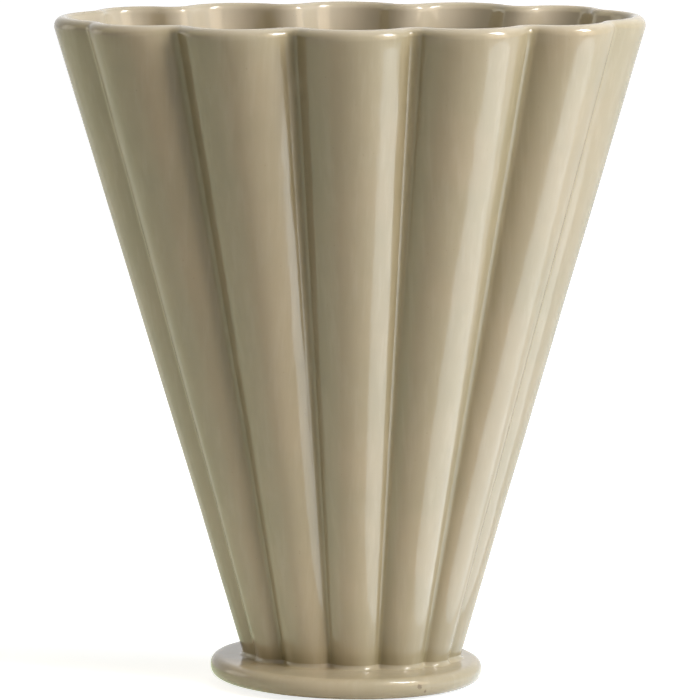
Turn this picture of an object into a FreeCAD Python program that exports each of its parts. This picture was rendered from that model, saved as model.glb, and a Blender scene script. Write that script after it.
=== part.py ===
import FreeCAD, Part
import math
import os

# A fan vase of glazed stoneware: a tapering shell of twelve round flutes on a round foot plate.
# Millimetres, +Z up, +X along the wide mouth. The origin is on the table under the middle.

# Overall sizes. The wall is measured outside, and its thickness level
vase_height = 280.0
mouth_width = 247.0
mouth_depth = 142.0
wall_foot_width = 90.0
wall_foot_depth = 68.0
wall_thickness = 7.0
# Flat left along the crest of the round lip
lip_flat = 0.4

# Flutes: the round grooves between them, and the angle of each flute's own arc
mouth_groove_radius = 4.0
foot_groove_radius = 1.8
mouth_flute_arc = 104.0
foot_flute_arc = 97.0
# Places of the three grooves of a quarter, as angles around the oval from its end
mouth_groove_angles = (29.0, 54.5, 78.5)
foot_groove_angles = (24.0, 48.5, 76.5)

# Foot plate with a full round edge, and the bed in its top for the wall and the floor
plate_diameter = 114.0
plate_thickness = 8.5
bed_depth = 1.5
bed_clearance = 0.2

# Floor slab, and the coil pressed into its corner, which reaches in from the wall's ridges
floor_thickness = 6.0
coil_height = 6.0
coil_reach = 6.0
coil_edge = 1.0

# Cove of slip and glaze around the wall's foot
fillet_height = 2.6
fillet_reach = 2.4
fillet_edge = 0.2
fillet_groove_radius = 1.4

# Unglazed ring that the vase stands on, let into a groove under the plate
ring_diameter = 88.0
ring_width = 6.0
ring_height = 3.0
ring_stand = 1.5
ring_clearance = 0.1
ring_edge_radius = 0.6

# Steps in which the lip and the coves are rounded
rounding_steps = 5

# Levels from the table up
plate_top = ring_stand + plate_thickness
bed_level = plate_top - bed_depth
floor_top = bed_level + floor_thickness
lip_radius = (wall_thickness - lip_flat) / 2
lip_level = vase_height - lip_radius

up = FreeCAD.Vector(0, 0, 1)


def at_level(point, level):
    return FreeCAD.Vector(point.x, point.y, level)


def groove_oval(width, depth, groove_radius, flute_arc, angles):
    """Half sizes of the oval of groove centres with which the flutes reach the width and depth."""
    bulge = math.tan(math.radians(flute_arc) / 4)
    end_angle = math.radians(angles[0])
    side_angle = math.radians(angles[-1])
    end_along, end_aside = math.cos(end_angle), math.sin(end_angle) * bulge
    side_along, side_aside = math.sin(side_angle), math.cos(side_angle) * bulge
    end_reach = width / 2 + groove_radius
    side_reach = depth / 2 + groove_radius
    scale = end_along * side_along - end_aside * side_aside
    half_width = (end_reach * side_along - side_reach * end_aside) / scale
    half_depth = (side_reach * end_along - end_reach * side_aside) / scale
    return half_width, half_depth


def flute_circles(width, depth, groove_radius, flute_arc, angles):
    """Centre and outer radius of each flute's arc, in turn around the oval."""
    half_width, half_depth = groove_oval(width, depth, groove_radius, flute_arc, angles)
    half_turn = list(angles) + [180 - angle for angle in reversed(angles)]
    turn = [math.radians(angle) for angle in half_turn + [180 + angle for angle in half_turn]]
    grooves = [FreeCAD.Vector(half_width * math.cos(angle), half_depth * math.sin(angle), 0)
               for angle in turn]
    half_arc = math.radians(flute_arc) / 2
    circles = []
    for start, end in zip(grooves, grooves[1:] + grooves[:1]):
        half_chord = (end - start).Length / 2
        outward = (end - start).cross(up).normalize()
        flute_centre = (start + end) / 2 - outward * (half_chord / math.tan(half_arc))
        circles.append((flute_centre, half_chord / math.sin(half_arc) - groove_radius))
    return circles


mouth_flutes = flute_circles(mouth_width, mouth_depth, mouth_groove_radius,
                             mouth_flute_arc, mouth_groove_angles)
foot_flutes = flute_circles(wall_foot_width, wall_foot_depth, foot_groove_radius,
                            foot_flute_arc, foot_groove_angles)


def flutes_at(level):
    """Flute circles at a level between the bed and the lip."""
    share = (level - bed_level) / (lip_level - bed_level)
    return [(low_centre * (1 - share) + high_centre * share, low + (high - low) * share)
            for (low_centre, low), (high_centre, high) in zip(foot_flutes, mouth_flutes)]


def groove_centre(first, second, groove_radius):
    """Centre of the round groove that touches two neighbouring flutes from outside."""
    (first_centre, first_radius), (second_centre, second_radius) = first, second
    span = second_centre - first_centre
    to_first = first_radius + groove_radius
    to_second = second_radius + groove_radius
    along = (to_first ** 2 - to_second ** 2 + span.Length ** 2) / (2 * span.Length)
    aside = math.sqrt(to_first ** 2 - along ** 2)
    direction = FreeCAD.Vector(span).normalize()
    return first_centre + direction * along + direction.cross(up) * aside


def arc(middle_point, radius, first_way, last_way, level):
    """Arc about a point, from one direction to the other by the short way."""
    ways = (first_way, (first_way + last_way).normalize(), last_way)
    return Part.Arc(*[at_level(middle_point + way * radius, level) for way in ways]).toShape()


def fluted_outline(circles, offset, groove_radius, level):
    """Closed wire of flute arcs and groove arcs, moved outward by the offset."""
    flutes = [(flute_centre, radius + offset) for flute_centre, radius in circles]
    following = flutes[1:] + flutes[:1]
    grooves = [groove_centre(flute, other, groove_radius) for flute, other in zip(flutes, following)]
    before = grooves[-1:] + grooves[:-1]
    edges = []
    for (flute_centre, radius), (next_centre, _), last, groove in zip(flutes, following, before, grooves):
        from_last = (last - flute_centre).normalize()
        to_groove = (groove - flute_centre).normalize()
        to_next = (next_centre - groove).normalize()
        edges.append(arc(flute_centre, radius, from_last, to_groove, level))
        edges.append(arc(groove, groove_radius, -to_groove, to_next, level))
    return Part.Wire(edges)


def taper(offset):
    """The fluted taper from the bed to the lip, with straight sides, moved outward by the offset."""
    foot = fluted_outline(foot_flutes, offset, foot_groove_radius - offset, bed_level)
    mouth = fluted_outline(mouth_flutes, offset, mouth_groove_radius - offset, lip_level)
    return Part.makeLoft([foot, mouth], True, True)


def round_lip(offset, turn):
    """The last stretch up to the crest, which turns in or out by a quarter circle."""
    outlines = []
    for step in range(rounding_steps + 1):
        angle = math.radians(90 * step / rounding_steps)
        moved = offset + turn * lip_radius * (1 - math.cos(angle))
        level = lip_level + lip_radius * math.sin(angle)
        outlines.append(fluted_outline(mouth_flutes, moved, mouth_groove_radius - moved, level))
    return Part.makeLoft(outlines, True, False)


def cove_steps():
    """Shares of height and reach of a hollow quarter round, from its foot up."""
    for step in range(rounding_steps + 1):
        height_share = step / rounding_steps
        yield height_share, 1 - math.sqrt(1 - (1 - height_share) ** 2)


def slice_of(solid, bottom, top):
    """The part of a solid between two levels."""
    bound = solid.BoundBox
    corner = FreeCAD.Vector(bound.XMin, bound.YMin, bottom)
    return solid.common(Part.makeBox(bound.XLength, bound.YLength, top - bottom, corner))


def make_fluted_wall(outside, inside):
    """The shell of twelve flutes with its full round lip."""
    outside = outside.fuse(round_lip(0, -1))
    inside = inside.fuse(round_lip(-wall_thickness, 1))
    return outside.cut(inside)


def make_vessel_floor(inside):
    """The slab that closes the foot of the shell."""
    return slice_of(inside, bed_level, floor_top)


def make_inner_coil(inside):
    """The coil smoothed into the corner of the floor and the wall, open in the middle."""
    half_width, half_depth = groove_oval(wall_foot_width, wall_foot_depth, foot_groove_radius,
                                         foot_flute_arc, foot_groove_angles)
    ridge = foot_groove_radius + wall_thickness
    ovals = []
    for height_share, reach_share in cove_steps():
        reach = ridge + coil_edge + (coil_reach - coil_edge) * reach_share
        middle = FreeCAD.Vector(0, 0, floor_top + coil_height * height_share)
        oval = Part.Ellipse(middle, half_width - reach, half_depth - reach)
        ovals.append(Part.Wire([oval.toShape()]))
    return slice_of(inside, floor_top, floor_top + coil_height).cut(Part.makeLoft(ovals, True, False))


def make_foot_plate():
    """The round plate with its full round edge, the bed in its top and the groove underneath."""
    edge_radius = plate_thickness / 2
    rim = plate_diameter / 2 - edge_radius
    low = FreeCAD.Vector(0, 0, ring_stand)
    high = FreeCAD.Vector(0, 0, plate_top)
    low_rim = FreeCAD.Vector(rim, 0, ring_stand)
    high_rim = FreeCAD.Vector(rim, 0, plate_top)
    outmost = FreeCAD.Vector(rim + edge_radius, 0, ring_stand + edge_radius)
    profile = Part.Wire([Part.LineSegment(low, low_rim).toShape(),
                         Part.Arc(low_rim, outmost, high_rim).toShape(),
                         Part.LineSegment(high_rim, high).toShape(),
                         Part.LineSegment(high, low).toShape()])
    plate = Part.Face(profile).revolve(FreeCAD.Vector(0, 0, 0), up, 360)
    groove = ring_shape(ring_clearance, ring_height)
    return plate.cut(taper(bed_clearance)).cut(groove)


def ring_shape(clearance, height):
    """A ring of the standing ring's size, wider by a clearance on both sides."""
    outer = Part.makeCylinder(ring_diameter / 2 + clearance, height)
    return outer.cut(Part.makeCylinder(ring_diameter / 2 - ring_width - clearance, height))


def make_foot_ring():
    """The standing ring, softened along its two lower edges."""
    ring = ring_shape(0, ring_height)
    lower_edges = [edge for edge in ring.Edges if edge.BoundBox.ZMax < ring_stand]
    return ring.makeFillet(ring_edge_radius, lower_edges)


def make_slip_fillet(outside):
    """The cove around the foot of the shell, which fills the ends of the grooves."""
    outlines = []
    for height_share, reach_share in cove_steps():
        level = plate_top + fillet_height * height_share
        offset = fillet_edge + (fillet_reach - fillet_edge) * reach_share
        outlines.append(fluted_outline(flutes_at(level), offset, fillet_groove_radius, level))
    return Part.makeLoft(outlines, True, True).cut(outside)


def main():
    os.makedirs("parts", exist_ok=True)
    outside = taper(0)
    inside = taper(-wall_thickness)
    nodes = {
        "fluted_wall": make_fluted_wall(outside, inside),
        "vessel_floor": make_vessel_floor(inside),
        "inner_coil": make_inner_coil(inside),
        "foot_plate": make_foot_plate(),
        "slip_fillet": make_slip_fillet(outside),
        "foot_ring": make_foot_ring(),
    }
    for name, shape in nodes.items():
        shape.exportStep(f"parts/{name}.step")
        print(name, "solids", len(shape.Solids), "valid", shape.isValid(), "volume", round(shape.Volume))


main()
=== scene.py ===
import math
import bmesh
import bpy
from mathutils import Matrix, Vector


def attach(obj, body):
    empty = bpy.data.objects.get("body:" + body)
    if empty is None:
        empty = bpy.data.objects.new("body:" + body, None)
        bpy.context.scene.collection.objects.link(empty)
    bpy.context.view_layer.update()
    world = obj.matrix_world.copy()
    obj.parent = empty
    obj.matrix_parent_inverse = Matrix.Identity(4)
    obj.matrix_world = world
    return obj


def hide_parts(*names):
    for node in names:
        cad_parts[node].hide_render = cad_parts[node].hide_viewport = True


# A fan vase of glossy beige glaze on a pale studio floor. Metres, +Z up, +X along the wide mouth.

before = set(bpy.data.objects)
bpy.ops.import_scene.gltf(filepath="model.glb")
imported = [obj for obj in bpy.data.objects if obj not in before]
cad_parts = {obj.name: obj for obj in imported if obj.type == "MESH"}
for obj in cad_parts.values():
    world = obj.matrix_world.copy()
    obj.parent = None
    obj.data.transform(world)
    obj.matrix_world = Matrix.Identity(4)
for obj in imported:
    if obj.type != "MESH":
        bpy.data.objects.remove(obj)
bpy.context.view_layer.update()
print("frame loaded with", ", ".join(sorted(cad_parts)))


# Helpers for node trees

class Number:
    # a number in a node tree, which can be added and multiplied like any other
    def __init__(self, tree, socket):
        self.tree = tree
        self.socket = socket

    def maths(self, operation, *others):
        node = self.tree.nodes.new("ShaderNodeMath")
        node.operation = operation
        plug(self.tree, zip(node.inputs, (self, *others)))
        return Number(self.tree, node.outputs[0])

    def __add__(self, other): return self.maths("ADD", other)
    def __sub__(self, other): return self.maths("SUBTRACT", other)
    def __mul__(self, other): return self.maths("MULTIPLY", other)
    def __truediv__(self, other): return self.maths("DIVIDE", other)
    def __neg__(self): return self * -1.0
    def floor(self): return self.maths("FLOOR")
    def root(self): return self.maths("SQRT")
    def sin(self): return self.maths("SINE")
    def cos(self): return self.maths("COSINE")
    def tan(self): return self.maths("TANGENT")
    def share(self): return self.maths("MAXIMUM", 0.0).maths("MINIMUM", 1.0)


def plug(tree, pairs):
    for socket, value in pairs:
        if isinstance(value, Number):
            tree.links.new(value.socket, socket)
        else:
            socket.default_value = value


def newTree(name, inputs):
    tree = bpy.data.node_groups.new(name, "GeometryNodeTree")
    for label, kind in inputs.items():
        tree.interface.new_socket(label, in_out="INPUT", socket_type="NodeSocket" + kind)
    start = tree.nodes.new("NodeGroupInput")
    return tree, {label: Number(tree, start.outputs[label]) for label in inputs}


def endTree(tree, outputs, kind="Float"):
    end = tree.nodes.new("NodeGroupOutput")
    for label, value in outputs.items():
        tree.interface.new_socket(label, in_out="OUTPUT", socket_type="NodeSocket" + kind)
        plug(tree, [(end.inputs[label], value)])
    return tree


def useGroup(tree, group, values):
    node = tree.nodes.new("GeometryNodeGroup")
    node.node_tree = group
    plug(tree, [(node.inputs[label], value) for label, value in values.items()])
    return [Number(tree, socket) for socket in node.outputs]


def addNode(tree, kind, settings=None, **values):
    node = tree.nodes.new(kind)
    for name, value in (settings or {}).items():
        setattr(node, name, value)
    plug(tree, [(node.inputs[name.replace("_", " ")], value) for name, value in values.items()])
    return node


def addNumber(tree, kind, settings=None, **values):
    return Number(tree, addNode(tree, kind, settings, **values).outputs[0])


def plainMesh(name, tree, values):
    # runs a tree on an empty mesh and keeps the result as a plain mesh
    piece = bpy.data.objects.new(name, bpy.data.meshes.new(name + "Start"))
    bpy.context.scene.collection.objects.link(piece)
    modifier = piece.modifiers.new("shape", "NODES")
    modifier.node_group = tree
    for item in tree.interface.items_tree:
        if item.in_out == "INPUT":
            modifier[item.identifier] = values[item.name]
    evaluated = piece.evaluated_get(bpy.context.evaluated_depsgraph_get())
    mesh = bpy.data.meshes.new_from_object(evaluated)
    piece.modifiers.remove(modifier)
    piece.data = mesh
    mesh.name = name
    return piece


def finishPiece(piece, slot, *nodes):
    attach(piece, "root")
    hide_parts(*nodes)
    print(piece.name, "made with", len(piece.data.polygons), "faces")


# Materials

def newMaterial(name):
    material = bpy.data.materials.new(name)
    material.use_nodes = True
    tree = material.node_tree
    return material, tree, tree.nodes["Principled BSDF"]


def spotted(tree, place, scale, detail=2.0, roughness=0.5):
    return addNumber(tree, "ShaderNodeTexNoise", Vector=place, Scale=scale, Detail=detail,
                     Roughness=roughness)


def spread(tree, value, low, high, toLow=0.0, toHigh=1.0):
    # a smooth step from one number to another while the value goes from low to high
    return addNumber(tree, "ShaderNodeMapRange", {"interpolation_type": "SMOOTHSTEP"}, Value=value,
                     From_Min=low, From_Max=high, To_Min=toLow, To_Max=toHigh)


def tint(tree, share, below, above):
    # inputs 6 and 7 and output 2 are the colour sockets of a Mix node
    mixer = addNode(tree, "ShaderNodeMix", {"data_type": "RGBA"})
    plug(tree, [(mixer.inputs["Factor"], share), (mixer.inputs[6], below), (mixer.inputs[7], above)])
    return Number(tree, mixer.outputs[2])


def mark(tree, colour, value, look):
    # tints a colour while a value passes through the look's band
    return tint(tree, spread(tree, value, *look["band"], 0.0, look["share"]), colour, look["colour"])


def roughen(tree, height, look, under=None):
    # a bump, on top of the one under it
    bump = addNode(tree, "ShaderNodeBump", Height=height, Strength=look["strength"], Distance=look["height"])
    if under:
        plug(tree, [(bump.inputs["Normal"], under)])
    return Number(tree, bump.outputs[0])


# Each mark has its colour, its noise (how fine, how detailed and how crisp), the band of values in
# which it comes up and how strongly it shows in the end. A bump has a strength and a height
# pale thin glaze, also used as painted light on the lip and inside the mouth
thinGlazeAndPaintedLight = (0.60, 0.53, 0.41, 1.0)
glaze = {
    "colour": (0.46, 0.385, 0.262, 1.0),
    # faint clouds where it lies thicker
    "clouds": {"colour": (0.43, 0.37, 0.25, 1.0), "noise": (26.0, 3.0), "band": (0.35, 0.65), "share": 1.0},
    # deeper glaze, and painted shade, in the grooves and on their flanks, and around the foot with an uneven
    # upper edge
    "poolsAndShade": {"colour": (0.26, 0.22, 0.115, 1.0), "noise": (110.0, 1.0), "uneven": 0.5,
              "grooveShare": 0.8, "footBand": (0.05, 0.45), "footShare": 0.17},
    # it ran down in the kiln, so faint streaks hang below the lip
    "streaks": {"colour": thinGlazeAndPaintedLight, "noise": (240.0, 3.0, 0.6), "upright": 0.04,
                "band": (0.45, 0.75), "share": 0.15, "strength": 0.25, "height": 0.0002},
    # paler where it runs thin over the lip, and painted light on the inside below the lip, lighter towards
    # the mouth
    "lip": {"colour": thinGlazeAndPaintedLight, "band": (0.35, 1.0), "share": 0.75},
    # two pits on the edge of the plate, each with its place and radius
    "pits": {"colour": (0.22, 0.165, 0.105, 1.0), "noise": (1500.0, 1.0), "softness": 1.5, "share": 0.8,
             "places": (((0.0279, -0.0491, 0.0058), 0.0014), ((0.0302, -0.0474, 0.0034), 0.0009))},
    "flecks": {"colour": (0.27, 0.20, 0.12, 1.0), "noise": (900.0, 1.0), "band": (0.76, 0.82), "share": 0.3},
    "gloss": {"noise": (60.0, 2.0), "band": (0.3, 0.7), "roughness": (0.06, 0.11), "refraction": 1.45},
    "waves": {"noise": (45.0, 1.0), "strength": 0.4, "height": 0.0010},
    "grain": {"noise": (420.0, 2.0), "strength": 0.10, "height": 0.0001},
}


def makeGlaze():
    material, tree, shader = newMaterial("beigeGlaze")
    place = Number(tree, tree.nodes.new("ShaderNodeTexCoord").outputs["Object"])
    noise = {name: spotted(tree, place, *glaze[name]["noise"])
             for name in ("clouds", "poolsAndShade", "pits", "flecks", "gloss", "waves", "grain")}
    stored = {}
    for name in ("poolAndShade", "foot", "crest"):
        node = addNode(tree, "ShaderNodeAttribute", {"attribute_name": name})
        stored[name] = Number(tree, node.outputs["Fac"])
    colour = mark(tree, glaze["colour"], noise["clouds"], glaze["clouds"])

    # painted shade: the pooled colour darkens the grooves, their flanks and the wall's foot, besides glaze
    # that pools there
    poolsAndShade = glaze["poolsAndShade"]
    uneven = noise["poolsAndShade"] * poolsAndShade["uneven"] - poolsAndShade["uneven"] / 2
    atFoot = stored["foot"] + uneven * stored["foot"]
    footPoolAndShade = spread(tree, atFoot, *poolsAndShade["footBand"], 0.0, poolsAndShade["footShare"])
    pooledAndShaded = (stored["poolAndShade"].share() * poolsAndShade["grooveShare"] + footPoolAndShade).share()
    colour = tint(tree, pooledAndShaded, colour, poolsAndShade["colour"])

    streaks = glaze["streaks"]
    tall = addNode(tree, "ShaderNodeMapping", {"vector_type": "POINT"}, Vector=place,
                   Scale=(1.0, 1.0, streaks["upright"]))
    noise["streaks"] = spotted(tree, Number(tree, tall.outputs[0]), *streaks["noise"])
    colour = mark(tree, colour, noise["streaks"], streaks)
    # painted light: paler over the lip and on the inside near the mouth, besides thin glaze
    colour = mark(tree, colour, stored["crest"], glaze["lip"])

    pits = glaze["pits"]
    for centre, radius in pits["places"]:
        near = Number(tree, addNode(tree, "ShaderNodeVectorMath", {"operation": "DISTANCE"},
                                    Vector=place).outputs["Value"])
        near.socket.node.inputs[1].default_value = centre
        ragged = near + noise["pits"] * radius
        pit = spread(tree, ragged, radius, radius * pits["softness"], pits["share"], 0.0)
        colour = tint(tree, pit, colour, pits["colour"])
    colour = mark(tree, colour, noise["flecks"], glaze["flecks"])

    gloss = glaze["gloss"]
    roughness = spread(tree, noise["gloss"], *gloss["band"], *gloss["roughness"])
    surface = None
    for name in ("waves", "streaks", "grain"):
        surface = roughen(tree, noise[name], glaze[name], surface)
    plug(tree, [(shader.inputs["Base Color"], colour), (shader.inputs["Roughness"], roughness),
                (shader.inputs["Normal"], surface), (shader.inputs["IOR"], gloss["refraction"])])
    return material


bareClay = {
    "colour": (0.60, 0.50, 0.37, 1.0),
    "blotches": {"colour": (0.45, 0.36, 0.25, 1.0), "noise": (70.0, 4.0), "band": (0.3, 0.7)},
    "grit": {"colour": (0.30, 0.22, 0.15, 1.0), "noise": (1400.0, 1.0), "band": (0.66, 0.74), "share": 1.0},
    "roughness": (0.75, 0.9),
    "grain": {"noise": (1600.0, 3.0), "strength": 0.5, "height": 0.0002},
}


def makeBareClay():
    material, tree, shader = newMaterial("bareStoneware")
    place = Number(tree, tree.nodes.new("ShaderNodeTexCoord").outputs["Object"])
    noise = {name: spotted(tree, place, *bareClay[name]["noise"]) for name in ("blotches", "grit", "grain")}
    blotched = spread(tree, noise["blotches"], *bareClay["blotches"]["band"])
    colour = tint(tree, blotched, bareClay["colour"], bareClay["blotches"]["colour"])
    colour = mark(tree, colour, noise["grit"], bareClay["grit"])
    roughness = spread(tree, blotched, 0.0, 1.0, *bareClay["roughness"])
    surface = roughen(tree, noise["grain"], bareClay["grain"])
    plug(tree, [(shader.inputs["Base Color"], colour), (shader.inputs["Roughness"], roughness),
                (shader.inputs["Normal"], surface)])
    return material


beigeGlaze = makeGlaze()
bareStoneware = makeBareClay()
print("materials made")


# The fluted wall: a taper of twelve flutes with round grooves between them

wall = {
    # outside sizes, radius of the grooves, arc of a flute, and places of the grooves around a quarter
    "mouth": {"width": 0.247, "depth": 0.142, "groove": 0.004, "arc": 104.0, "angles": (29.0, 54.5, 78.5)},
    "foot": {"width": 0.090, "depth": 0.068, "groove": 0.0018, "arc": 97.0, "angles": (24.0, 48.5, 76.5)},
    "flutes": 12,
    "fluteSteps": 18,
    "grooveSteps": 10,
    "footShift": 0.0010,            # the foot was luted a little off the middle
    "sharpAngle": 50.0,
    "sizes": {
        "footLevel": 0.0085,
        "lipLevel": 0.2767,
        "lipHeight": 0.0033,
        "lipCrest": 0.62,           # share of the thickness from outside to the crest of the lip
        "shoulderDrop": 0.0013,     # the lip is rounder outside along the flutes than in the grooves
        "thickness": 0.007,
        "sideRows": 56,
        "lipRows": 16,
        "unevenness": 0.0005,       # hand work: how far the surface wanders inward
        "calmFoot": 0.25,           # less and less in this share of the height above the foot
        "lipDip": 0.0006,           # and how far the lip dips
        "waveScale": 16.0,
        "poolAndShadeTop": 0.0185,          # glaze stands thicker, with painted shade, on the wall from here down to the plate
        "poolAndShadeHeight": 0.0085,
        "flankPoolAndShade": 0.65,          # and painted shade on the flanks of the grooves, next to 1 in the grooves
        "endStart": 0.62,           # but less of it past this share of the half width
        "endFade": 0.125,
        "endLoss": 0.8,
        "thinAndLitDepth": 0.045,         # and it stays thin, with painted light, inside this far below the lip
        "mergeWithin": 0.00002,
    },
}
ringSizes = ("width", "depth", "groove", "arc", "angle1", "angle2", "angle3")
steps = ("fluteSteps", "grooveSteps")


def makeFluteCircle():
    # the circle of one flute, through two neighbours on an oval of groove centres
    tree, given = newTree("fluteCircle", {name: "Float" for name in (*ringSizes, "flute")})
    quarter = [given["angle1"], given["angle2"], given["angle3"]]
    bulge = (given["arc"] / 4.0).tan()
    endAlong, endAside = quarter[0].cos(), quarter[0].sin() * bulge
    sideAlong, sideAside = quarter[2].sin(), quarter[2].cos() * bulge
    endReach = given["width"] / 2.0 + given["groove"]
    sideReach = given["depth"] / 2.0 + given["groove"]
    scale = endAlong * sideAlong - endAside * sideAside
    halfWidth = (endReach * sideAlong - sideReach * endAside) / scale
    halfDepth = (sideReach * endAlong - endReach * sideAside) / scale
    halfTurn = quarter + [-angle + math.pi for angle in reversed(quarter)]
    grooves = float(len(halfTurn))

    def grooveAt(number):
        turns = (number / grooves).floor()
        pick = tree.nodes.new("GeometryNodeIndexSwitch")
        pick.data_type = "FLOAT"
        while len(pick.index_switch_items) < len(halfTurn):
            pick.index_switch_items.new()
        # the switch cuts its index down to a whole number, so a quarter more keeps it on the right one
        plug(tree, zip(pick.inputs, [number - turns * grooves + 0.25] + halfTurn))
        angle = Number(tree, pick.outputs[0]) + turns * math.pi
        return halfWidth * angle.cos(), halfDepth * angle.sin()

    startX, startY = grooveAt(given["flute"])
    endX, endY = grooveAt(given["flute"] + 1.0)
    alongX, alongY = endX - startX, endY - startY
    chord = (alongX * alongX + alongY * alongY).root()
    halfArc = given["arc"] / 2.0
    return endTree(tree, {
        "x": (startX + endX) / 2.0 - alongY / (halfArc.tan() * 2.0),
        "y": (startY + endY) / 2.0 + alongX / (halfArc.tan() * 2.0),
        "radius": chord / (halfArc.sin() * 2.0) - given["groove"],
    })


def makeGrooveCentre():
    # the centre of a round groove that touches two circles from outside
    names = ("x1", "y1", "radius1", "x2", "y2", "radius2", "groove")
    tree, given = newTree("grooveCentre", {name: "Float" for name in names})
    spanX, spanY = given["x2"] - given["x1"], given["y2"] - given["y1"]
    span = (spanX * spanX + spanY * spanY).root()
    toFirst = given["radius1"] + given["groove"]
    toSecond = given["radius2"] + given["groove"]
    along = (toFirst * toFirst - toSecond * toSecond + span * span) / (span * 2.0)
    aside = (toFirst * toFirst - along * along).root()
    wayX, wayY = spanX / span, spanY / span
    return endTree(tree, {
        "x": given["x1"] + wayX * along + wayY * aside,
        "y": given["y1"] + wayY * along - wayX * aside,
    })


def makeFluteOutline():
    # the point and outward direction of one column of the outline, moved outward by the offset
    names = (*ringSizes, *steps, "column", "offset", "cove")
    tree, given = newTree("fluteOutline", {name: "Float" for name in names})
    stepsEach = given["fluteSteps"] + given["grooveSteps"]
    flute = (given["column"] / stepsEach).floor()
    step = given["column"] - flute * stepsEach
    circles = []
    for neighbour in (-1.0, 0.0, 1.0):
        x, y, radius = useGroup(tree, fluteCircle, {
            **{name: given[name] for name in ringSizes}, "flute": flute + neighbour})
        circles.append((x, y, radius + given["offset"]))
    grooves = []
    for (x1, y1, radius1), (x2, y2, radius2) in zip(circles, circles[1:]):
        grooves.append(useGroup(tree, grooveCentre, {
            "x1": x1, "y1": y1, "radius1": radius1, "x2": x2, "y2": y2, "radius2": radius2,
            "groove": given["cove"]}))
    (lastX, lastY), (grooveX, grooveY) = grooves
    x, y, radius = circles[1]
    nextX, nextY = circles[2][:2]
    startAngle = (lastY - y).maths("ARCTAN2", lastX - x)
    endAngle = (grooveY - y).maths("ARCTAN2", grooveX - x)
    nextAngle = (grooveY - nextY).maths("ARCTAN2", grooveX - nextX)
    fluteTurn = (endAngle - startAngle).maths("WRAP", 2.0 * math.pi, 0.0)
    grooveTurn = (nextAngle - endAngle).maths("WRAP", math.pi, -math.pi)
    fluteShare = (step / given["fluteSteps"]).share()
    grooveShare = ((step - given["fluteSteps"]) / given["grooveSteps"]).share()
    inGroove = (grooveShare * 1000.0).share()  # 0 on a flute, and 1 from the first step of a groove
    angle = startAngle + fluteTurn * fluteShare + grooveTurn * grooveShare
    normalX, normalY = angle.cos(), angle.sin()
    onFluteX, onFluteY = x + normalX * radius, y + normalY * radius
    inGrooveX, inGrooveY = grooveX - normalX * given["cove"], grooveY - normalY * given["cove"]
    return endTree(tree, {
        "x": onFluteX + (inGrooveX - onFluteX) * inGroove,
        "y": onFluteY + (inGrooveY - onFluteY) * inGroove,
        "normalX": normalX,
        "normalY": normalY,
        "valley": (grooveShare * math.pi).sin(),
        "ridge": (fluteShare * math.pi).sin(),
    })


fluteCircle = makeFluteCircle()
grooveCentre = makeGrooveCentre()
fluteOutline = makeFluteOutline()


def ringInputs(end):
    return {name: end + name.capitalize() for name in ringSizes}


def outlineRings(tree, given, column, offset, coves):
    # the outlines at the foot and at the mouth, for the same column
    rings = []
    for end, cove in zip(("foot", "mouth"), coves):
        ring = {name: given[label] for name, label in ringInputs(end).items()}
        ring.update({name: given[name] for name in steps})
        rings.append(useGroup(tree, fluteOutline, {**ring, "column": column, "offset": offset, "cove": cove}))
    return rings


def vaseInputs(*names):
    ends = [label for end in ("foot", "mouth") for label in ringInputs(end).values()]
    return {"columns": "Int", **{name: "Float" for name in (*ends, *steps, "footShift", *names)}}


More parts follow.
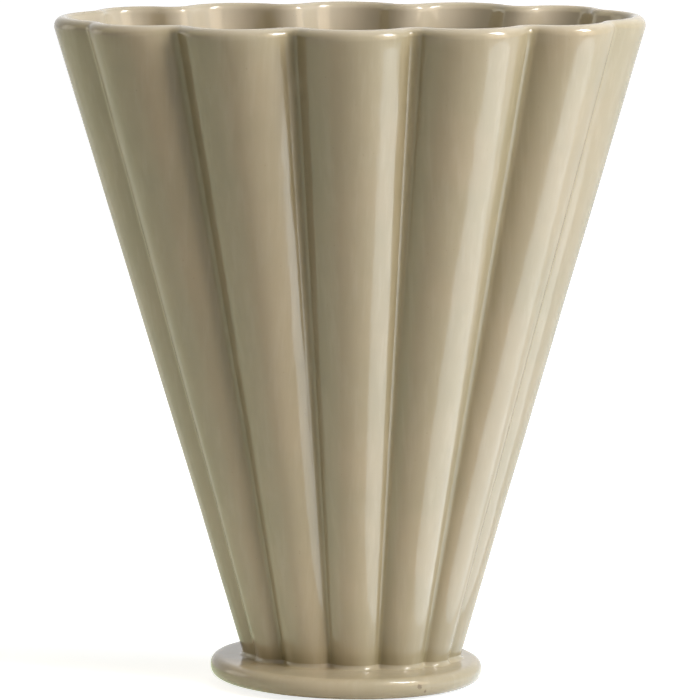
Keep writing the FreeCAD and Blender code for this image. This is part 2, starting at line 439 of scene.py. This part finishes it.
def makeWallTree():
    tree, given = newTree("flutedWall", {
        "material": "Material", "rows": "Int", **vaseInputs(*wall["sizes"])})
    grid = addNumber(tree, "GeometryNodeMeshGrid", Vertices_X=given["columns"], Vertices_Y=given["rows"])
    index = addNumber(tree, "GeometryNodeInputIndex")
    column = (index / given["rows"]).floor()
    row = index - column * given["rows"]

    # rows run up the outside, over the lip, down the inside and across the foot
    lipRow = row - given["sideRows"]
    insideRow = lipRow - given["lipRows"]
    height = (row / given["sideRows"]).share() - (insideRow / given["sideRows"]).share()
    lipAngle = (lipRow / given["lipRows"]).share() * math.pi
    outerHalf, innerHalf = lipAngle.cos().share(), (-lipAngle.cos()).share()
    lipTurn = given["lipCrest"] * (-outerHalf + 1.0) + (-given["lipCrest"] + 1.0) * innerHalf
    offset = given["thickness"] * ((insideRow - given["sideRows"]).share() - lipTurn)
    coves = (given["footGroove"] - offset, given["mouthGroove"] - offset)
    rings = outlineRings(tree, given, column, offset, coves)
    ridge = rings[0][5]
    shoulder = given["shoulderDrop"] * ridge * (-(lipAngle.maths("MINIMUM", math.pi / 2)).sin() + 1.0)
    rise = given["lipLevel"] - given["footLevel"]
    level = given["footLevel"] + (rise - shoulder) * height
    share = (level - given["footLevel"]) / rise
    x, y, normalX, normalY, valley = [low + (high - low) * share for low, high in list(zip(*rings))[:5]]
    x = x + given["footShift"] * (-height + 1.0)

    # hand work: the surface wanders a little, less and less towards the foot, and the lip dips
    onSurface = addNumber(tree, "ShaderNodeCombineXYZ", X=x, Y=y, Z=level)
    onLip = addNumber(tree, "ShaderNodeCombineXYZ", X=x, Y=y)
    waves = addNumber(tree, "ShaderNodeTexNoise", Vector=onSurface, Scale=given["waveScale"], Detail=1.0)
    wander = waves * given["unevenness"] * (height / given["calmFoot"]).share()
    ripple = addNumber(tree, "ShaderNodeTexNoise", Vector=onLip, Scale=given["waveScale"], Detail=0.0)
    place = addNumber(tree, "ShaderNodeCombineXYZ", X=x - normalX * wander, Y=y - normalY * wander,
                      Z=level + given["lipHeight"] * lipAngle.sin() - ripple * given["lipDip"] * height)
    shape = addNumber(tree, "GeometryNodeSetPosition", Geometry=grid, Position=place)

    # what the glaze reads: where it pools in a groove and at the foot, with painted shade there and on the
    # flanks, and where it runs thin over the lip, with painted light inside below it
    outside = (-lipTurn * 2.0 + 1.0).share()
    halfWidth = (given["footWidth"] + (given["mouthWidth"] - given["footWidth"]) * share) / 2.0
    nearEnd = ((x.maths("ABSOLUTE") / halfWidth - given["endStart"]) / given["endFade"]).share()
    # pooled glaze and painted shade at the foot of the wall
    foot = ((given["poolAndShadeTop"] - level) / given["poolAndShadeHeight"]).share() * outside
    # painted light: the inside is paler towards the mouth, besides the thin glaze over the lip
    thinAndLitBelowLip = ((level - given["lipLevel"]) / given["thinAndLitDepth"] + 1.0).share() * innerHalf
    crest = lipAngle.sin().maths("MAXIMUM", thinAndLitBelowLip)
    # painted shade: the flanks of the flutes darken towards the grooves, less near the ends
    flank = -ridge + 1.0
    poolAndShade = valley.maths("MAXIMUM", flank * flank * given["flankPoolAndShade"])
    poolAndShade = poolAndShade * outside * (-nearEnd * given["endLoss"] + 1.0)
    for name, value in {"poolAndShade": poolAndShade, "foot": foot, "crest": crest}.items():
        shape = addNumber(tree, "GeometryNodeStoreNamedAttribute",
                          {"domain": "POINT", "data_type": "FLOAT"}, Geometry=shape, Name=name, Value=value)
    shape = addNumber(tree, "GeometryNodeMergeByDistance", Geometry=shape, Distance=given["mergeWithin"])
    shape = addNumber(tree, "GeometryNodeRealizeInstances", Geometry=shape)
    shape = addNumber(tree, "GeometryNodeSetMaterial", Geometry=shape, Material=given["material"])
    return endTree(tree, {"shape": shape}, "Geometry")


def makeLoopTree():
    # one loop of the outline at a height, level or tilted, for the pieces that follow the wall
    tree, given = newTree("outlineLoop", vaseInputs("height", "tilt", "offset", "footCove", "mouthCove"))
    line = addNumber(tree, "GeometryNodeMeshLine", Count=given["columns"])
    column = addNumber(tree, "GeometryNodeInputIndex")
    rings = outlineRings(tree, given, column, given["offset"], (given["footCove"], given["mouthCove"]))
    (lowX, highX), (lowY, highY) = list(zip(*rings))[:2]
    height = given["height"] - given["tilt"] * (lowX + (highX - lowX) * given["height"])
    x, y = lowX + (highX - lowX) * height, lowY + (highY - lowY) * height
    place = addNumber(tree, "ShaderNodeCombineXYZ", X=x + given["footShift"] * (-height + 1.0), Y=y, Z=height)
    return endTree(tree, {"shape": addNumber(tree, "GeometryNodeSetPosition", Geometry=line, Position=place)},
                   "Geometry")


columns = wall["flutes"] * (wall["fluteSteps"] + wall["grooveSteps"])
vaseValues = {name: wall[name] for name in (*steps, "footShift")}
for end in ("foot", "mouth"):
    for name, label in ringInputs(end).items():
        number = {"angle1": 0, "angle2": 1, "angle3": 2}.get(name)
        value = wall[end][name] if number is None else wall[end]["angles"][number]
        isAngle = name == "arc" or number is not None
        vaseValues[label] = math.radians(value) if isAngle else value

flutedWall = plainMesh("flutedWall", makeWallTree(), {
    **vaseValues, **wall["sizes"], "material": beigeGlaze, "columns": columns + 1,
    "rows": 2 * wall["sizes"]["sideRows"] + wall["sizes"]["lipRows"] + 2})
flutedWall.data.shade_smooth()
flutedWall.data.set_sharp_from_angle(angle=math.radians(wall["sharpAngle"]))
finishPiece(flutedWall, "glaze", "fluted_wall")


# Pieces around the foot, skinned over loops of points

loopTree = makeLoopTree()


def outlineLoop(level, offset, leastCove=0.0, tilt=0.0):
    # points around the wall at a level, moved outward by the offset
    bottom, top = wall["sizes"]["footLevel"], wall["sizes"]["lipLevel"]
    rise = top - bottom
    holder = plainMesh("loop", loopTree, {
        **vaseValues, "columns": columns, "height": (level - bottom) / rise, "tilt": tilt / rise,
        "offset": offset, "footCove": max(wall["foot"]["groove"] - offset, leastCove),
        "mouthCove": max(wall["mouth"]["groove"] - offset, leastCove)})
    points = [Vector((vertex.co.x, vertex.co.y, bottom + rise * vertex.co.z))
              for vertex in holder.data.vertices]
    bpy.data.meshes.remove(holder.data)
    return points


def makeLoft(name, loops, material, closed=False, sharpAngle=35.0):
    # skins loops of points one after the other, and closes the ends with fans
    count, rows = len(loops[0]), len(loops)
    points = [point for loop in loops for point in loop]
    faces = []
    for row in range(rows if closed else rows - 1):
        below, above = row * count, (row + 1) % rows * count
        faces += [(below + i, below + (i + 1) % count, above + (i + 1) % count, above + i)
                  for i in range(count)]
    if not closed:
        for start in (0, (rows - 1) * count):
            points.append(sum(points[start:start + count], Vector()) / count)
            faces += [(len(points) - 1, start + i, start + (i + 1) % count) for i in range(count)]
    mesh = bpy.data.meshes.new(name)
    mesh.from_pydata(points, [], faces)
    shell = bmesh.new()
    shell.from_mesh(mesh)
    bmesh.ops.recalc_face_normals(shell, faces=shell.faces)
    shell.to_mesh(mesh)
    shell.free()
    mesh.shade_smooth()
    mesh.set_sharp_from_angle(angle=math.radians(sharpAngle))
    mesh.materials.append(material)
    piece = bpy.data.objects.new(name, mesh)
    bpy.context.scene.collection.objects.link(piece)
    return piece


def quarterCove(count):
    # shares of height and reach of a hollow quarter round, from its top down, closer together at its foot
    for step in range(count + 1):
        height = (1.0 - step / count) ** 2
        yield height, 1.0 - math.sqrt(1.0 - (1.0 - height) ** 2)


plate = {
    "radius": 0.057,
    "bottom": 0.0015,
    "top": 0.010,
    "edgeSteps": 14,
    "edgeFullness": 2.3,                # 2 is a plain round edge, more is squarer
    "bedClearance": 0.0002,
    "ring": (0.0379, 0.0441, 0.0030),   # groove of the standing ring: inside, outside and top
    "middle": 0.012,                    # radius of the innermost loop
    "topRows": 5,
    "shift": -0.0016,                   # hand work: set off to the left, with its left side higher
    "tilt": 0.020,
}


def makeFootPlate():
    bedTop = outlineLoop(plate["top"], plate["bedClearance"], tilt=plate["tilt"])
    ways = [Vector((point.x, point.y, 0.0)).normalized() for point in bedTop]
    half = (plate["top"] - plate["bottom"]) / 2
    flatRadius = plate["radius"] - half
    ringInside, ringOutside, ringTop = plate["ring"]

    def circle(radius, level, handSet=False):
        points = [way * radius + Vector((0, 0, level)) for way in ways]
        if handSet:
            points = [point + Vector((plate["shift"], 0, -plate["tilt"] * point.x)) for point in points]
        return points

    bottom = plate["bottom"]
    loops = [circle(plate["middle"], bottom), circle(ringInside, bottom), circle(ringInside, ringTop),
             circle(ringOutside, ringTop), circle(ringOutside, bottom)]
    power = 2 / plate["edgeFullness"]
    for step in range(plate["edgeSteps"] + 1):
        angle = math.radians(-90 + 180 * step / plate["edgeSteps"])
        out, rise = math.cos(angle), math.sin(angle)
        loops.append(circle(flatRadius + half * max(out, 0.0) ** power,
                            bottom + half + half * math.copysign(abs(rise) ** power, rise), True))
    topEdge = circle(flatRadius, plate["top"], True)
    for step in range(1, plate["topRows"]):
        share = step / plate["topRows"]
        loops.append([edge.lerp(bed, share) for edge, bed in zip(topEdge, bedTop)])
    bedLevel = wall["sizes"]["footLevel"]
    loops += [bedTop, [Vector((point.x, point.y, bedLevel)) for point in bedTop],
              circle(plate["middle"], bedLevel)]
    return makeLoft("footPlate", loops, beigeGlaze)


finishPiece(makeFootPlate(), "glaze", "foot_plate")

fillet = {
    "height": 0.0026,
    "reach": 0.0024,
    "leastCove": 0.0014,    # least radius of its own grooves
    "sunk": 0.0001,         # how far it reaches into the wall and the plate
    "steps": 8,
}


def makeSlipFillet():
    loops = []
    for height, reach in quarterCove(fillet["steps"]):
        level = plate["top"] - fillet["sunk"] + (fillet["height"] + fillet["sunk"]) * height
        offset = -fillet["sunk"] + (fillet["reach"] + fillet["sunk"]) * reach
        loops.append(outlineLoop(level, offset, fillet["leastCove"], plate["tilt"]))
    for level in (plate["top"] - fillet["sunk"], plate["top"] + fillet["height"]):
        loops.append(outlineLoop(level, -3 * fillet["sunk"], tilt=plate["tilt"]))
    return makeLoft("slipFillet", loops, beigeGlaze, closed=True)


finishPiece(makeSlipFillet(), "glaze", "slip_fillet")

coil = {
    "bottom": 0.0145,
    "height": 0.006,
    "oval": (0.030, 0.0172),    # half sizes of the opening in it
    "sunk": 0.0001,
    "steps": 10,
}


def makeInnerCoil():
    halfWidth, halfDepth = coil["oval"]
    top = coil["bottom"] + coil["height"]
    onWall = outlineLoop(top, coil["sunk"] - wall["sizes"]["thickness"])
    oval = []
    for point in onWall:
        reach = math.hypot(point.x / halfWidth, point.y / halfDepth)
        oval.append(Vector((point.x / reach, point.y / reach, top)))
    loops = []
    for height, reach in quarterCove(coil["steps"]):
        drop = Vector((0, 0, coil["height"] * (1 - height)))
        loops.append([outer.lerp(inner, reach) - drop for outer, inner in zip(onWall, oval)])
    loops.append(outlineLoop(coil["bottom"], coil["sunk"] - wall["sizes"]["thickness"]))
    return makeLoft("innerCoil", loops, beigeGlaze, closed=True)


finishPiece(makeInnerCoil(), "glaze", "inner_coil")

# the floor slab and the standing ring keep their plain shapes
for name, material in {"vessel_floor": beigeGlaze, "foot_ring": bareStoneware}.items():
    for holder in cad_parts[name].material_slots:
        holder.material = material
print("floor slab and standing ring finished")


# Studio: a pale floor, which is white to the eye and far off in reflections but keeps the vase's shadow, and
# nearer by shows a painted reflection in the gloss

studio = {
    "floorSize": 16.0,
    "floorColour": (0.80, 0.80, 0.79, 1.0),
    "floorRoughness": 0.9,
    "shadowReach": (0.12, 0.70),   # distance over which the floor goes from lit to plain white
    "nearWhite": 0.80,             # white that is added to the lit floor next to the vase
    "glossReach": (0.60, 2.50),    # the same for what the glaze mirrors
    # painted reflection: the colours the floor nearer by glows in for the gloss, dark in front and bright to
    # the sides; degrees round from the camera's side to the right
    "paintedReflection": {
        -180: (0.35, 0.36, 0.28),
        -150: (0.52, 0.54, 0.42),
        -110: (0.78, 0.92, 0.66),
        -48: (0.78, 0.92, 0.66),
        -28: (0.08, 0.07, 0.05),
        30: (0.08, 0.07, 0.05),
        54: (0.80, 0.92, 1.00),
        95: (0.80, 0.92, 1.00),
        130: (0.45, 0.50, 0.50),
    },
    "ambient": (0.97, 1.0, 0.96, 1.0),
    "ambientStrength": 0.02,
}
pureWhite = (1.0, 1.0, 1.0, 1.0)


def seenRays(tree):
    # 1 for what the camera sees directly or through glass, and 1 for what it sees in gloss
    path = tree.nodes.new("ShaderNodeLightPath")
    camera, glossy, through = [Number(tree, path.outputs[name])
                               for name in ("Is Camera Ray", "Is Glossy Ray", "Is Transmission Ray")]
    return (camera + through).share(), glossy


def makeFloor():
    mesh = bpy.data.meshes.new("studioFloor")
    half = studio["floorSize"] / 2
    corners = [(-half, -half, 0), (half, -half, 0), (half, half, 0), (-half, half, 0)]
    mesh.from_pydata(corners, [], [(0, 1, 2, 3)])
    floor = bpy.data.objects.new("studioFloor", mesh)
    bpy.context.scene.collection.objects.link(floor)
    material, tree, shader = newMaterial("paleFloor")
    shader.inputs["Base Color"].default_value = studio["floorColour"]
    shader.inputs["Roughness"].default_value = studio["floorRoughness"]
    place = Number(tree, tree.nodes.new("ShaderNodeTexCoord").outputs["Object"])
    distance = Number(tree, addNode(tree, "ShaderNodeVectorMath", {"operation": "LENGTH"}, Vector=place)
                      .outputs["Value"])
    direct, glossy = seenRays(tree)
    plain = spread(tree, distance, *studio["shadowReach"], studio["nearWhite"], 1.0)
    parted = addNode(tree, "ShaderNodeSeparateXYZ", Vector=place)
    across, deep = Number(tree, parted.outputs["X"]), Number(tree, parted.outputs["Y"])
    turned = across.maths("ARCTAN2", -deep) / (2.0 * math.pi) + 0.5
    ramp = addNode(tree, "ShaderNodeValToRGB", Fac=turned)
    stops = ramp.color_ramp.elements
    while len(stops) < len(studio["paintedReflection"]):
        stops.new(1.0)
    for stop, (degrees, colour) in zip(stops, studio["paintedReflection"].items()):
        stop.position, stop.color = degrees / 360.0 + 0.5, (*colour, 1.0)
    farOff = spread(tree, distance, *studio["glossReach"])
    # painted reflection: in gloss the floor nearby glows in colours by direction, fading to white far off
    paintedReflection = tint(tree, farOff, Number(tree, ramp.outputs[0]), pureWhite)
    whiteAndPaintedReflection = addNumber(tree, "ShaderNodeEmission", Color=tint(tree, glossy, pureWhite, paintedReflection),
                      Strength=plain * direct + glossy)
    both = addNode(tree, "ShaderNodeAddShader")
    plug(tree, [(both.inputs[0], Number(tree, shader.outputs[0])), (both.inputs[1], whiteAndPaintedReflection)])
    tree.links.new(both.outputs[0], tree.nodes["Material Output"].inputs["Surface"])
    mesh.materials.append(material)


makeFloor()

world = bpy.data.worlds.new("studioAir")
bpy.context.scene.world = world
world.use_nodes = True
air = world.node_tree.nodes["Background"]
direct, glossy = seenRays(world.node_tree)
seen = (direct + glossy).share()
dim = studio["ambientStrength"]
plug(world.node_tree, [
    (air.inputs["Color"], tint(world.node_tree, seen, studio["ambient"], pureWhite)),
    (air.inputs["Strength"], seen * (1.0 - dim) + dim)])

# soft boxes around the vase: degrees round from the camera's side to the right, and up. Some of
# them only light the clay, and the small one only glints in the gloss
lamps = {
    "keyBox": {"round": 68, "up": 45, "away": 1.2, "size": (0.8, 1.0), "power": 12.2,
               "colour": (0.80, 0.87, 0.96), "inGloss": False},
    "warmBox": {"round": 60, "up": 30, "away": 1.2, "size": (0.7, 1.0), "power": 7.9,
                "colour": (1.0, 0.79, 0.56)},
    "sideBox": {"round": 80, "up": 12, "away": 1.8, "size": (0.9, 0.9), "power": 8.2,
                "colour": (0.28, 0.60, 0.90), "inGloss": False},
    "backBox": {"round": -110, "up": 12, "away": 1.8, "size": (0.9, 0.9), "power": 4.3,
                "colour": (1.0, 0.93, 0.74)},
    "topBox": {"round": 25, "up": 65, "away": 1.2, "size": (0.5, 0.5), "power": 2.1,
               "colour": (1.0, 0.92, 0.80), "inGloss": False},
    "glintBox": {"round": 70, "up": 48, "away": 0.9, "size": (0.22, 0.32), "power": 5.2,
                 "colour": (1.0, 1.0, 1.0), "onClay": False},
    "leftBox": {"round": -90, "up": 40, "away": 1.5, "size": (0.9, 0.9), "power": 2.1,
                "colour": (1.0, 0.90, 0.42)},
}
aim = Vector((0.0, 0.0, 0.15))

# long pale cards lying on the floor: one that only the gloss picks up, one that only fills in the foot
cards = {
    "glossCard": {"round": 68, "near": 0.09, "size": (1.10, 0.50), "glow": 2.4,
                  "colour": (0.80, 0.92, 1.0), "onClay": False},
    "footCard": {"round": -10, "near": 0.06, "size": (0.10, 0.35), "glow": 0.5,
                 "colour": (1.0, 0.97, 0.90), "inGloss": False},
}
cardLevel = 0.004


def addLamp(name, lamp, shape, power):
    light = bpy.data.lights.new(name, "AREA")
    light.shape = shape
    light.size, light.size_y = lamp["size"]
    light.energy = power
    light.color = lamp["colour"]
    holder = bpy.data.objects.new(name, light)
    holder.visible_camera = False
    holder.visible_diffuse = lamp.get("onClay", True)
    holder.visible_glossy = lamp.get("inGloss", True)
    bpy.context.scene.collection.objects.link(holder)
    return holder


for name, lamp in lamps.items():
    around, up = math.radians(lamp["round"]), math.radians(lamp["up"])
    way = Vector((math.sin(around) * math.cos(up), -math.cos(around) * math.cos(up), math.sin(up)))
    holder = addLamp(name, lamp, "RECTANGLE", lamp["power"])
    holder.location = aim + way * lamp["away"]
    holder.rotation_mode = "QUATERNION"
    holder.rotation_quaternion = way.to_track_quat("Z", "Y")

for name, card in cards.items():
    length, width = card["size"]
    around, middle = math.radians(card["round"]), card["near"] + length / 2
    # the power at which the card's own brightness is its glow
    holder = addLamp(name, card, "ELLIPSE", card["glow"] * length * width * math.pi ** 2 / 4)
    holder.location = (math.sin(around) * middle, -math.cos(around) * middle, cardLevel)
    holder.rotation_euler = (math.pi, 0.0, around - math.pi / 2)

# metres, and degrees round to the right and down
camera = {
    "distance": 2.9,
    "height": 0.542,
    "azimuth": -1.3,
    "pitch": 7.9,
    "lens": 360.7,
    "sensor": 36.0,
}
eye = bpy.data.objects.new("camera", bpy.data.cameras.new("camera"))
turn = math.radians(camera["azimuth"])
away = camera["distance"]
eye.location = (math.sin(turn) * away, -math.cos(turn) * away, camera["height"])
eye.rotation_euler = (math.radians(90.0 - camera["pitch"]), 0.0, turn)
eye.data.lens = camera["lens"]
eye.data.sensor_width = camera["sensor"]
bpy.context.scene.collection.objects.link(eye)
bpy.context.scene.camera = eye
bpy.context.scene.view_settings.view_transform = "Standard"
print("studio ready")
